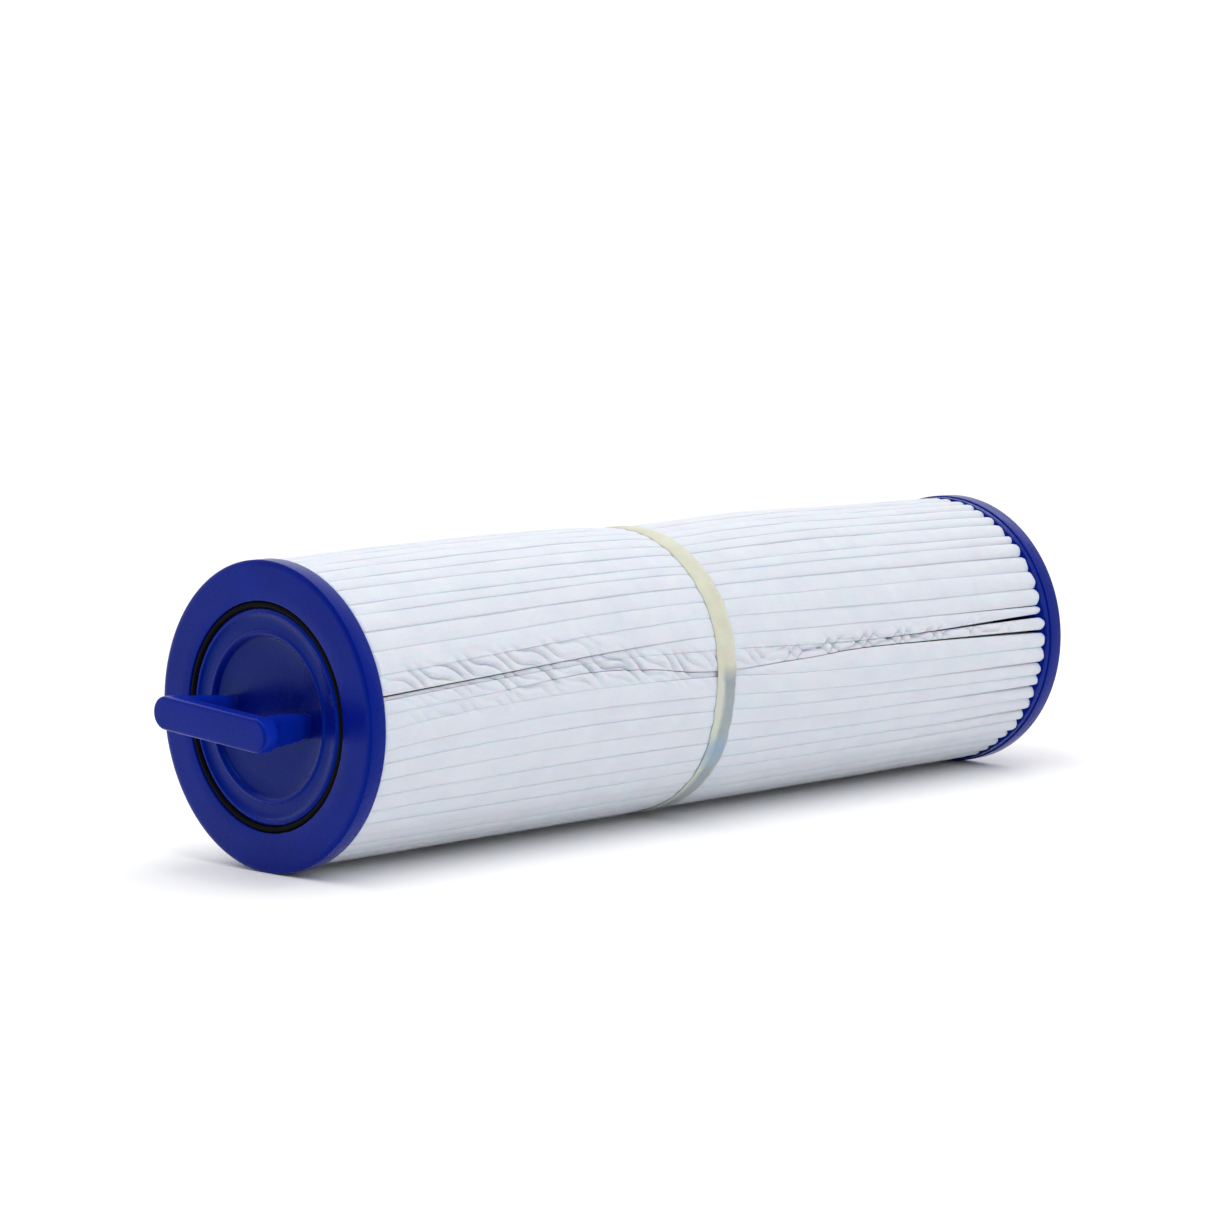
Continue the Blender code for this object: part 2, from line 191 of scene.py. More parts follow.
def smooth_noise(seed, count, waves):
    """Random smooth functions: count rows of (amplitude, waves per unit, phase)."""
    draw = np.random.default_rng(seed)
    amplitude = draw.normal(0.0, 1.0, (count, len(waves))) / math.sqrt(len(waves))
    phase = draw.uniform(0.0, 2.0 * math.pi, (count, len(waves)))
    speed = np.array(waves) * draw.uniform(0.8, 1.25, (count, len(waves)))

    def value(t):
        """Values of all rows at each t: shape (len(t), count)."""
        angle = 2.0 * math.pi * speed[None] * np.asarray(t)[:, None, None] + phase[None]
        return (amplitude[None] * np.sin(angle)).sum(2)
    return value


# ---------------------------------------------------------------- material helpers

class Surface:
    """A node-based Principled material."""

    def __init__(self, name):
        self.material = bpy.data.materials.new(name)
        self.material.use_nodes = True
        self.nodes = self.material.node_tree.nodes
        self.links = self.material.node_tree.links
        self.shader = self.nodes["Principled BSDF"]
        self.coords = self.nodes.new("ShaderNodeTexCoord").outputs["Object"]

    def set(self, **values):
        """Set constant values on the shader's own sockets."""
        for key, value in values.items():
            self.shader.inputs[key.replace("_", " ")].default_value = value

    def join(self, source, target):
        self.links.new(source, target)

    def split(self, vector=None):
        """The X, Y and Z of a vector, by default of the place on the object."""
        node = self.nodes.new("ShaderNodeSeparateXYZ")
        self.join(vector or self.coords, node.inputs["Vector"])
        return node.outputs["X"], node.outputs["Y"], node.outputs["Z"]

    def span(self, source, start, end):
        """0 to 1 while source goes from start to end."""
        node = self.nodes.new("ShaderNodeMapRange")
        self.join(source, node.inputs["Value"])
        node.inputs["From Min"].default_value = start
        node.inputs["From Max"].default_value = end
        return node.outputs["Result"]

    def noise(self, scale, detail=4.0, rough=0.55, stretch=None, coords=None):
        """Noise from 0 to 1 in space or in other coordinates."""
        node = self.nodes.new("ShaderNodeTexNoise")
        node.inputs["Scale"].default_value = scale
        node.inputs["Detail"].default_value = detail
        node.inputs["Roughness"].default_value = rough
        source = coords or self.coords
        if stretch:
            mapping = self.nodes.new("ShaderNodeMapping")
            mapping.inputs["Scale"].default_value = stretch
            self.join(source, mapping.inputs["Vector"])
            source = mapping.outputs["Vector"]
        self.join(source, node.inputs["Vector"])
        return node.outputs["Fac"]

    def cells(self, scale):
        """Distance to the nearest of many scattered points."""
        node = self.nodes.new("ShaderNodeTexVoronoi")
        node.inputs["Scale"].default_value = scale
        self.join(self.coords, node.inputs["Vector"])
        return node.outputs["Distance"]

    def ramp(self, source, low, high, low_at=0.0, high_at=1.0):
        """Map source to a value or colour between two stops."""
        node = self.nodes.new("ShaderNodeValToRGB")
        stops = node.color_ramp.elements
        stops[0].position, stops[1].position = low_at, high_at
        for stop, value in ((stops[0], low), (stops[1], high)):
            colour = value if hasattr(value, "__len__") else (value, value, value)
            stop.color = (*colour, 1.0)
        self.join(source, node.inputs["Fac"])
        return node.outputs["Color"]

    def mix(self, factor, low, high):
        """Mix two colour sockets or constants by a factor socket."""
        node = self.nodes.new("ShaderNodeMix")
        node.data_type = "RGBA"
        self.join(factor, node.inputs["Factor"])
        for value, key in ((low, "A"), (high, "B")):
            socket = [s for s in node.inputs if s.name == key and s.type == "RGBA"][0]
            if hasattr(value, "__len__"):
                socket.default_value = (*value, 1.0)
            else:
                self.join(value, socket)
        return [s for s in node.outputs if s.type == "RGBA"][0]

    def maths(self, operation, a, b=None, c=None):
        """A sum on sockets and numbers."""
        node = self.nodes.new("ShaderNodeMath")
        node.operation = operation
        for i, value in enumerate((a, b, c)):
            if value is None:
                continue
            if isinstance(value, (int, float)):
                node.inputs[i].default_value = value
            else:
                self.join(value, node.inputs[i])
        return node.outputs["Value"]

    def bump(self, height, strength, distance, under=None):
        """Normal with fine relief, over another normal if given."""
        node = self.nodes.new("ShaderNodeBump")
        node.inputs["Strength"].default_value = strength
        node.inputs["Distance"].default_value = distance
        self.join(height, node.inputs["Height"])
        if under is not None:
            self.join(under, node.inputs["Normal"])
        return node.outputs["Normal"]


# Blue plastics mirror blue light best, so their highlights stay saturated.
BLUE_SHINE = (0.03, 0.30, 1.0, 1.0)


def cast_blue():
    """Satin cast polyurethane of the end caps."""
    s = Surface("cast_blue")
    cloud = s.noise(26.0, 3.0)
    colour = s.ramp(cloud, (0.0006, 0.0045, 0.162), (0.0012, 0.0075, 0.206), 0.32, 0.72)
    scuffs = s.ramp(s.noise(420.0, 5.0, 0.7, (1.0, 0.12, 0.12)), 0.0, 1.0, 0.60, 0.74)
    worn = s.mix(s.maths("MULTIPLY", scuffs, 0.12), colour, (0.008, 0.03, 0.30))
    s.join(worn, s.shader.inputs["Base Color"])
    s.join(s.ramp(s.noise(90.0, 6.0), 0.22, 0.32, 0.3, 0.7), s.shader.inputs["Roughness"])
    peel = s.bump(s.noise(240.0, 2.0), 0.05, 0.0004)
    pits = s.ramp(s.cells(330.0), 0.0, 1.0, 0.02, 0.10)
    s.join(s.bump(pits, 0.05, 0.0002, peel), s.shader.inputs["Normal"])
    s.set(Specular_IOR_Level=0.26, Specular_Tint=BLUE_SHINE)
    return s.material


def moulded_blue():
    """Semi-gloss injection-moulded plastic in lit and shaded copies of one blue: painted shade on the
    recessed disc, which the outlet shares, and painted light on the grip, most of all behind its flat
    front."""
    s = Surface("moulded_blue")
    cloud = s.noise(34.0, 2.0)
    # Painted shade and light: the deepest blue shades the disc and outlet, the lightest lights the legs,
    # and the bar's flat front gets the middle one.
    shaded_blue = s.ramp(cloud, (0.0006, 0.0030, 0.110), (0.0012, 0.0050, 0.138), 0.3, 0.75)
    light = s.ramp(cloud, (0.0014, 0.0130, 0.270), (0.0022, 0.0170, 0.320), 0.3, 0.75)
    front = s.ramp(cloud, (0.0007, 0.0050, 0.175), (0.0013, 0.0075, 0.215), 0.3, 0.75)
    x = s.split()[0]
    # Painted light on the legs and painted shade on the disc and outlet, switched by distance along the
    # axis.
    behind = s.mix(s.span(x, FRONT_X + 2.5 * MM, FRONT_X - 3.0 * MM), shaded_blue, light)
    colour = s.mix(s.span(x, GRIP_X + 1.4 * MM, GRIP_X + 0.4 * MM), behind, front)
    scratches = s.ramp(s.noise(700.0, 3.0, 0.6, (0.25, 1.0, 0.25)), 0.0, 1.0, 0.66, 0.78)
    worn = s.mix(s.maths("MULTIPLY", scratches, 0.08), colour, (0.008, 0.035, 0.33))
    s.join(worn, s.shader.inputs["Base Color"])
    s.join(s.ramp(s.noise(120.0, 5.0), 0.22, 0.34, 0.3, 0.7), s.shader.inputs["Roughness"])
    s.join(s.bump(s.noise(1400.0, 3.0), 0.04, 0.0001), s.shader.inputs["Normal"])
    s.set(Specular_IOR_Level=0.26, Specular_Tint=BLUE_SHINE)
    return s.material


def ring_rubber():
    """Dull black rubber with a little dust."""
    s = Surface("ring_rubber")
    dust = s.ramp(s.noise(800.0, 6.0, 0.7), 0.0, 1.0, 0.52, 0.75)
    colour = s.mix(s.maths("MULTIPLY", dust, 0.4), (0.0020, 0.0020, 0.0022), (0.006, 0.006, 0.007))
    s.join(colour, s.shader.inputs["Base Color"])
    s.join(s.ramp(dust, 0.50, 0.75), s.shader.inputs["Roughness"])
    s.join(s.bump(s.noise(1500.0, 4.0), 0.15, 0.0002), s.shader.inputs["Normal"])
    s.set(Specular_IOR_Level=0.04)
    return s.material


def fleece():
    """White spunbonded polyester: matted fibres, bonded dots, soaked edges at the caps."""
    s = Surface("fleece")
    cloth = s.nodes.new("ShaderNodeUVMap")
    cloth.uv_map = "cloth"
    flat = cloth.outputs["UV"]
    along, across, _ = s.split(flat)
    fibres = s.noise(1.0, 5.0, 0.62, (900.0, 900.0, 1.0), flat)
    strands = s.noise(1.0, 4.0, 0.6, (260.0, 1500.0, 1.0), flat)
    blotches = s.noise(1.0, 3.0, 0.5, (55.0, 70.0, 1.0), flat)
    dot_pitch = 2.0 * math.pi / (2.4 * MM)
    wave_a = s.maths("SINE", s.maths("MULTIPLY", s.maths("ADD", along, across), dot_pitch / 2.0))
    wave_b = s.maths("SINE", s.maths("MULTIPLY", s.maths("SUBTRACT", along, across), dot_pitch / 2.0))
    dots = s.ramp(s.maths("MULTIPLY", wave_a, wave_b), 0.0, 1.0, 0.45, 0.85)
    base = s.ramp(blotches, (0.600, 0.629, 0.700), (0.652, 0.674, 0.735), 0.3, 0.7)
    dotted = s.mix(s.maths("MULTIPLY", dots, 0.10), base, (0.55, 0.59, 0.66))
    fuzz = s.maths("MULTIPLY", s.ramp(strands, 0.0, 1.0, 0.45, 0.7), 0.08)
    fuzzy = s.mix(fuzz, dotted, (0.76, 0.79, 0.82))
    middle = (FRONT_X + REAR_X) / 2.0
    from_middle = s.maths("ABSOLUTE", s.maths("SUBTRACT", s.split()[0], middle))
    edge = BODY_LENGTH / 2.0 - CAP_SKIRT
    wick = s.maths("MULTIPLY_ADD", blotches, 4.0 * MM, from_middle)
    soaked = s.span(wick, edge - 0.4 * MM, edge + 2.2 * MM)
    tinted = s.mix(s.maths("MULTIPLY", soaked, 0.6), fuzzy, (0.10, 0.17, 0.52))
    s.join(tinted, s.shader.inputs["Base Color"])
    s.join(s.ramp(fibres, 0.78, 0.95, 0.3, 0.7), s.shader.inputs["Roughness"])
    matted = s.bump(fibres, 0.22, 0.0004)
    laid = s.bump(strands, 0.14, 0.0004, matted)
    s.join(s.bump(s.maths("SUBTRACT", 1.0, dots), 0.20, 0.0002, laid), s.shader.inputs["Normal"])
    s.set(Specular_IOR_Level=0.1, Sheen_Weight=0.08, Sheen_Roughness=0.5)
    s.set(Subsurface_Weight=0.5, Subsurface_Scale=0.0015)
    return s.material


def melt_cream():
    """Translucent hot-melt of the band: pale yellow above the seam, greyer below it, partly a real
    difference in the melt and partly painted shade.
    """
    s = Surface("melt_cream")
    cloud = s.noise(120.0, 4.0)
    yellow = s.ramp(cloud, (0.53, 0.530, 0.430), (0.61, 0.600, 0.490), 0.3, 0.7)
    # The greyer lower part is partly painted shade and partly a real difference in the melt.
    grey = s.ramp(cloud, (0.26, 0.305, 0.330), (0.34, 0.385, 0.405), 0.3, 0.7)
    x, _, z = s.split()
    aside = s.maths("ABSOLUTE", s.maths("SUBTRACT", x, BAND_X))
    edge = s.maths("MULTIPLY_ADD", s.noise(200.0, 2.0), 3.0 * MM, aside)
    thin = s.ramp(s.maths("DIVIDE", edge, BAND_WIDTH), 0.0, 1.0, 0.35, 0.58)
    lower = s.mix(thin, grey, (0.56, 0.575, 0.50))
    ragged = s.maths("MULTIPLY_ADD", s.noise(70.0, 2.0), 10.0 * MM, z)
    colour = s.mix(s.span(ragged, AXIS.z + 6.0 * MM, AXIS.z + 13.0 * MM), lower, yellow)
    # A blue print on the fleece shows through at the lapped joint.
    from_joint = s.maths("ABSOLUTE", s.maths("SUBTRACT", ragged, AXIS.z - 26.0 * MM))
    smear = s.ramp(s.maths("MULTIPLY", from_joint, 100.0), 0.55, 0.0, 0.2, 0.8)
    s.join(s.mix(smear, colour, (0.20, 0.33, 0.50)), s.shader.inputs["Base Color"])
    s.join(s.ramp(s.noise(300.0, 4.0), 0.34, 0.52, 0.3, 0.7), s.shader.inputs["Roughness"])
    s.join(s.bump(s.noise(420.0, 3.0), 0.20, 0.0005), s.shader.inputs["Normal"])
    s.set(Subsurface_Weight=0.3, Subsurface_Scale=0.002, Specular_IOR_Level=0.3)
    return s.material


def seam_glue():
    """Dull hot-melt of the hidden pleat seam."""
    s = Surface("seam_glue")
    colour = s.ramp(s.noise(150.0, 4.0), (0.50, 0.50, 0.40), (0.64, 0.63, 0.52), 0.3, 0.7)
    s.join(colour, s.shader.inputs["Base Color"])
    s.join(s.ramp(s.noise(260.0, 4.0), 0.40, 0.60), s.shader.inputs["Roughness"])
    s.join(s.bump(s.noise(500.0, 3.0), 0.3, 0.0005), s.shader.inputs["Normal"])
    return s.material


def core_plastic():
    """Off-white moulded polypropylene of the core."""
    s = Surface("core_plastic")
    colour = s.ramp(s.noise(60.0, 3.0), (0.60, 0.62, 0.64), (0.74, 0.75, 0.76), 0.3, 0.7)
    s.join(colour, s.shader.inputs["Base Color"])
    s.join(s.ramp(s.noise(200.0, 4.0), 0.36, 0.52, 0.3, 0.7), s.shader.inputs["Roughness"])
    s.join(s.bump(s.noise(700.0, 3.0), 0.10, 0.0003), s.shader.inputs["Normal"])
    return s.material


def floor_paint():
    """Plain white studio floor with a barely visible mottle."""
    s = Surface("floor_paint")
    s.join(s.ramp(s.noise(3.0, 3.0), 0.975, 0.990), s.shader.inputs["Base Color"])
    s.join(s.ramp(s.noise(8.0, 3.0), 0.85, 0.95), s.shader.inputs["Roughness"])
    s.set(Specular_IOR_Level=0.1)
    return s.material


def finish_piece(item, material, slot, *nodes):
    """Material, slot (not used), CAD nodes it stands for, and the body it rides on."""
    item.data.materials.clear()
    item.data.materials.append(material)
    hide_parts(*nodes)
    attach(item, BODY)


# ---------------------------------------------------------------- end caps

def cap_profile(face_x, inward, inner, climb=0.0):
    """Rim of a cap from its face round to the potting, then its own inner outline.
    inward is +1 at the grip end and -1 at the outlet end. climb is how far the potting covers
    the pleats beyond the skirt."""
    lip = CAP_LIP
    rim = [(CAP_EASE_DEPTH * (1.0 + along), CAP_RADIUS + CAP_EASE_WIDTH * (out - 1.0))
           for along, out in arc((0.0, 0.0), 1.0, 180.0, 90.0, 14)]
    rim += arc((CAP_SKIRT - 0.5 * MM, CAP_RADIUS - 0.5 * MM), 0.5 * MM, 90.0, 10.0, 4)
    if climb:
        cover = lip + 1.1 * MM
        rim += [(CAP_SKIRT + 0.05 * MM, cover), (CAP_SKIRT + 0.6 * climb, cover)]
        rim += [(CAP_SKIRT + 0.95 * climb, cover - 0.2 * MM)]
    end = CAP_SKIRT + climb
    rim += [(end, lip + 0.2 * MM), (end + 0.2 * MM, lip - 0.3 * MM)]
    # The potting climbs between the pleats, so it shows blue in the open gaps.
    rim += [(end + 1.0 * MM, lip - 1.8 * MM), (end + 2.4 * MM, lip - 4.0 * MM)]
    rim += [(end + 3.4 * MM, lip - 8.0 * MM), (end + 3.4 * MM, POTTING_BORE)]
    return [(face_x + inward * depth, radius) for depth, radius in rim + inner]


def potting_wobble(seed, inward, edge_x):
    """The potting's edge is ragged: it climbs a little further up some pleats."""
    waves = smooth_noise(seed, 2, (9.0, 23.0, 41.0, 67.0))
    turns = np.arange(CAP_SIDES) / CAP_SIDES
    table = waves(turns)

    def move(x, radius, angle):
        if inward * (x - edge_x) < 0.1 * MM or radius < 50.0 * MM:
            return 0.0, 0.0
        climb = table[round(angle / (2.0 * math.pi) * CAP_SIDES) % CAP_SIDES, 0]
        return inward * 0.9 * MM * climb, 0.0
    return move


def make_caps(blue):
    ring_wall = (RING_HIGH.z - RING_LOW.z) / 2.0 + 0.2 * MM
    ring_floor = RING_HIGH.x - FRONT_X + 0.2 * MM
    disc_wall = (DISC_HIGH.z - DISC_LOW.z) / 2.0 + 0.2 * MM
    core_wall = (CORE_HIGH.z - CORE_LOW.z) / 2.0 - 2.5 * MM
    seat = 5.3 * MM
    inner = [(POTTING_DEPTH, POTTING_BORE), (POTTING_DEPTH, core_wall), (seat, core_wall)]
    inner += [(seat, disc_wall)]
    inner += [(ring_floor, disc_wall), (ring_floor, ring_wall)]
    inner += arc((0.5 * MM, ring_wall + 0.5 * MM), 0.5 * MM, 270.0, 180.0, 4)
    inner += [(0.0, 52.0 * MM), (0.0, 56.0 * MM)]
    ragged = potting_wobble(SEED + 20, 1.0, FRONT_X + CAP_SKIRT)
    front = turned("handle_end_cap_cast", cap_profile(FRONT_X, 1.0, inner), CAP_SIDES, ragged)
    finish_piece(front, blue, "cap_blue", "handle_end_cap")

    neck = 24.7 * MM
    flange_wall = (OUTLET_HIGH.z - OUTLET_LOW.z) / 2.0 + 0.4 * MM
    flange_seat = 3.2 * MM
    inner = [(POTTING_DEPTH, POTTING_BORE), (POTTING_DEPTH, flange_wall), (flange_seat, flange_wall)]
    inner += [(flange_seat, neck)]
    inner += arc((0.4 * MM, neck + 0.4 * MM), 0.4 * MM, 270.0, 180.0, 3)
    inner += [(0.0, 34.0 * MM), (0.0, 45.0 * MM), (0.0, 54.0 * MM)]
    ragged = potting_wobble(SEED + 21, -1.0, REAR_X - CAP_SKIRT)
    rear = turned("rear_end_cap_cast", cap_profile(REAR_X, -1.0, inner, REAR_CLIMB), CAP_SIDES, ragged)
    finish_piece(rear, blue, "cap_blue", "rear_end_cap")


# ---------------------------------------------------------------- grip end

def make_ring(rubber):
    middle_x = (RING_LOW.x + RING_HIGH.x) / 2.0
    thick = RING_HIGH.x - RING_LOW.x
    radius = (RING_HIGH.z - RING_LOW.z - thick) / 2.0
    profile = arc((middle_x, radius), thick / 2.0, 0.0, 345.0, 23)
    ring = turned("seal_ring_rubber", profile)
    finish_piece(ring, rubber, "seal_black", "seal_ring")


def make_disc(blue):
    """The plate round the grip's feet: lip, groove, bead and a lower middle."""
    outer = (DISC_HIGH.z - DISC_LOW.z) / 2.0
    back = 5.0 * MM
    collar_end = DISC_HIGH.x - FRONT_X
    points = [(2.75 * MM, 0.0006), (2.8 * MM, 12.0 * MM), (2.8 * MM, 24.0 * MM), (2.8 * MM, 30.9 * MM)]
    points += arc((1.9 * MM, 31.0 * MM), 0.9 * MM, 20.0, 80.0, 4)[1:]
    points += arc((2.0 * MM, 33.8 * MM), 1.2 * MM, 235.0, 118.0, 12)
    points += [(1.5 * MM, 35.6 * MM), (1.55 * MM, 37.4 * MM), (1.5 * MM, 39.6 * MM)]
    points += arc((1.4 * MM, 41.8 * MM), 1.0 * MM, 245.0, 130.0, 8)
    points += [(0.9 * MM, outer - 0.15 * MM), (1.1 * MM, outer), (back, outer)]
    points += [(back, 29.9 * MM), (collar_end - 0.5 * MM, 29.9 * MM), (collar_end, 29.4 * MM)]
    points += [(collar_end, 27.4 * MM), (back, 27.1 * MM), (back, 0.0006)]
    disc = turned("handle_disc_plate", [(FRONT_X + x, r) for x, r in points], 192, None, False)
    finish_piece(disc, blue, "handle_blue", "handle_disc")
    return disc


def bar_row(x, shrink):
    """One row of the bar: an outline with round ends, shrunk by this much."""
    radius = GRIP_HALF_HEIGHT - shrink
    straight = GRIP_HALF_LENGTH - GRIP_HALF_HEIGHT
    steps = 20
    row = []
    for side, start in ((1.0, -90.0), (-1.0, 90.0)):
        for i in range(steps + 1):
            angle = math.radians(start + 180.0 * i / steps)
            row.append((x, side * straight + radius * math.cos(angle), radius * math.sin(angle)))
    return row


def leg_row(depth, side):
    """One rounded rectangle of a leg, in a plane across the axis."""
    x = FRONT_X + depth * MM
    inner, outer, up = (float(between([x], knots)[0]) * MM for knots in (LEG_INNER, LEG_OUTER, LEG_UP))
    middle, across = (inner + outer) / 2.0, (outer - inner) / 2.0
    steps = 8
    row = []
    for y, z, start in ((1, 1, 0.0), (-1, 1, 90.0), (-1, -1, 180.0), (1, -1, 270.0)):
        for i in range(steps):
            angle = math.radians(start + 90.0 * i / steps)
            row.append((x, side * (middle + y * (across - LEG_ROUND) + LEG_ROUND * math.cos(angle)),
                        z * (up - LEG_ROUND) + LEG_ROUND * math.sin(angle)))
    return row


def capped(name, rows):
    """A closed object from rows of points, turned to the grip's tilt."""
    columns = len(rows[0])
    turn = Matrix.Rotation(GRIP_TILT, 3, "X")
    points = [turn @ Vector(p) + AXIS for row in rows for p in row]
    faces = grid_faces(len(rows), columns, False, True)
    faces.append(tuple(range(columns)))
    last = (len(rows) - 1) * columns
    faces.append(tuple(range(last + columns - 1, last - 1, -1)))
    item = link_mesh(name, points, faces)
    point_out(item)
    return item


def make_grip(blue):
    """Flat-fronted bar with round ends, on two legs that taper to the disc."""
    face, back, edge = GRIP_X, GRIP_X + GRIP_BAR_DEPTH, GRIP_EDGE
    rows = []
    for shrink in (5.6, 4.2, 3.0, 2.2):
        rows.append(bar_row(face + 0.10 * MM * (1.0 - shrink / 5.6), shrink * MM))
    rows += [bar_row(face + 0.1 * MM + edge - out, edge - up)
             for up, out in arc((0.0, 0.0), edge, 90.0, 0.0, 8)]
    rows += [bar_row(back - edge + out, edge - up) for up, out in arc((0.0, 0.0), edge, 0.0, 90.0, 6)]
    grip = capped("grip_handle_moulded", rows)
    for side, name in ((-1.0, "near"), (1.0, "far")):
        depths = np.concatenate([np.linspace(-25.0, -16.0, 19), np.linspace(-15.0, -1.0, 10),
                                 np.linspace(-0.5, 2.75, 9)])
        leg = capped(f"grip_leg_{name}", [leg_row(depth, side) for depth in depths])
        union = grip.modifiers.new(name, "BOOLEAN")
        union.operation, union.solver, union.object = "UNION", "EXACT", leg
        apply_modifiers(grip)
        bpy.data.objects.remove(leg, do_unlink=True)
    grip.data.shade_smooth()
    grip.data.set_sharp_from_angle(angle=math.radians(38.0))
    finish_piece(grip, blue, "handle_blue", "grip_handle")


# ---------------------------------------------------------------- pleats

def between(x, knots):
    """Smooth curve through a few (depth, value) knots, by cubic Hermite pieces."""
    xs = np.array([k[0] for k in knots]) * MM
    ys = np.array([k[1] for k in knots], float)
    slopes = np.gradient(ys, xs)
    x = np.clip(np.asarray(x) - FRONT_X, xs[0], xs[-1])
    i = np.clip(np.searchsorted(xs, x) - 1, 0, len(xs) - 2)
    step = xs[i + 1] - xs[i]
    t = (x - xs[i]) / step
    return ((2 * t**3 - 3 * t**2 + 1) * ys[i] + (t**3 - 2 * t**2 + t) * step * slopes[i]
            + (3 * t**2 - 2 * t**3) * ys[i + 1] + (t**3 - t**2) * step * slopes[i + 1])


def bell(value, centre, width):
    """1 at the centre, falling to 0 over about twice the width."""
    return np.exp(-((value - centre) / width) ** 2)


# Gaps between pleats on the camera's side, in degrees above level at the outlet end
SHOWN_GAPS = (-34.5, -28.0, -21.7, -16.2, -10.7, -3.8, 3.3, 10.4, 14.9, 22.6, 30.6, 38.5)
MAIN_GAP = 6                   # place of the main gap in that list; others are counted from it
# Gaps that wander, by number from the main gap: degrees above level at depths in mm
WANDERING = {
    -1: ((8.0, -1.0), (30.0, 0.9), (73.0, 3.2), (118.0, 4.2), (194.0, 2.8), (240.0, 0.4), (424.0, -3.8)),
    0: ((8.0, 5.0), (77.0, 8.5), (129.0, 10.7), (160.0, 8.9), (188.0, 5.6), (251.0, 5.3), (290.0, 6.4),
        (345.0, 5.5), (424.0, 3.3)),
    1: ((8.0, 9.9), (68.0, 12.6), (135.0, 14.5), (182.0, 13.9), (229.0, 12.3), (275.0, 10.2),
        (424.0, 10.4)),
    2: ((8.0, 11.7), (68.0, 14.5), (148.0, 18.0), (190.0, 18.9), (260.0, 17.6), (369.0, 15.5),
        (424.0, 14.9))}
# How far round the gaps below and above wander along with them, in degrees
LOWER_REACH, UPPER_REACH = 25.0, 28.0
# Open gaps: (number from the main gap, opening in mm at the grip end, at the band and at the outlet end)
OPEN_GAPS = ((0, 0.0, 0.40, 1.8), (1, 0.0, 0.12, 2.1), (2, 0.75, 0.12, 0.7), (3, 0.0, 0.0, 0.35),
             (5, 0.0, 0.0, 0.8), (-1, 0.0, 0.10, 0.1), (-2, 0.0, 0.0, 1.0), (-4, 0.0, 0.0, 1.2),
             (-6, 0.0, 0.0, 0.9), (12, 0.1, 0.3, 0.5), (18, 0.4, 0.1, 0.7), (24, 0.1, 0.5, 0.4),
             (31, 0.8, 0.3, 0.6), (37, 0.2, 0.6, 0.8), (43, 0.5, 0.2, 0.5))
CLOSED_GAP = 0.38              # a closed gap between centre lines of the cloth, in mm
# From a pleat's shoulder to its crest, in mm by depth
RISE = ((8.0, 0.40), (50.0, 0.28), (200.0, 0.26), (320.0, 0.34), (385.0, 0.8), (424.0, 1.6))
# How far the pleats on top stand above the crest radius, in mm by depth
BULGE = ((8.0, 0.6), (45.0, 1.9), (110.0, 2.8), (165.0, 2.6), (195.0, 1.7), (207.0, 1.1), (222.0, 1.0),
         (250.0, 1.9), (290.0, 2.6), (345.0, 1.7), (400.0, 0.9), (424.0, 0.3))
# Crumpled zones: (gap number, mm above it, half width, pitch along the axis, slant, crease depth in mm,
# and how much of it there is by depth)
CRUMPLES = (
    (2, 4.5, 4.5, 10.5, 5.6, 1.50, ((8.0, 0.2), (22.0, 1.0), (95.0, 1.0), (140.0, 0.2), (424.0, 0.0))),
    (0, 0.8, 3.0, 15.0, 8.0, 1.90, ((8.0, 0.0), (60.0, 0.1), (90.0, 1.0), (170.0, 1.0), (205.0, 0.3),
                                    (424.0, 0.0))),
    (0, 4.5, 4.0, 9.5, 6.0, 1.30, ((8.0, 0.1), (60.0, 0.8), (200.0, 0.9), (240.0, 0.5), (424.0, 0.0))),
    (0, -3.5, 3.0, 10.0, 6.5, 0.80, ((8.0, 0.3), (70.0, 1.0), (170.0, 0.8), (240.0, 0.1), (424.0, 0.0))),
    (0, 3.5, 3.2, 12.0, 6.0, 1.35, ((8.0, 0.0), (215.0, 0.1), (245.0, 1.0), (370.0, 0.9), (424.0, 0.0))),
    (0, 3.5, 3.2, 12.5, -6.0, 1.35, ((8.0, 0.0), (215.0, 0.1), (245.0, 1.0), (370.0, 0.9), (424.0, 0.0))))


def gap_angles(x):
    """Angle of every gap between pleats at each station. Array place 0 is the lowest shown gap."""
    shown = len(SHOWN_GAPS)
    rest = PLEATS - shown
    step = (360.0 - SHOWN_GAPS[-1] + SHOWN_GAPS[0]) / (rest + 1)
    jitter = np.random.default_rng(SEED + 2).normal(0.0, 0.35, rest)
    hidden = SHOWN_GAPS[-1] + step * np.arange(1, rest + 1) + jitter
    base = np.concatenate([SHOWN_GAPS, hidden])
    around = (base + 180.0) % 360.0 - 180.0
    angles = base + 0.25 * smooth_noise(SEED, PLEATS, (0.7, 1.6, 3.1))((x - FRONT_X) / BODY_LENGTH)
    low, high = MAIN_GAP + min(WANDERING), MAIN_GAP + max(WANDERING)
    sides = ((low, LOWER_REACH, around < base[low]), (high, UPPER_REACH, around > base[high]))
    for place, reach, beyond in sides:
        lead = between(x, WANDERING[place - MAIN_GAP]) - base[place]
        angles = angles + beyond * lead[:, None] * bell(around, base[place], reach)
    for number, knots in WANDERING.items():
        angles[:, MAIN_GAP + number] = between(x, knots)
    return np.radians(angles)


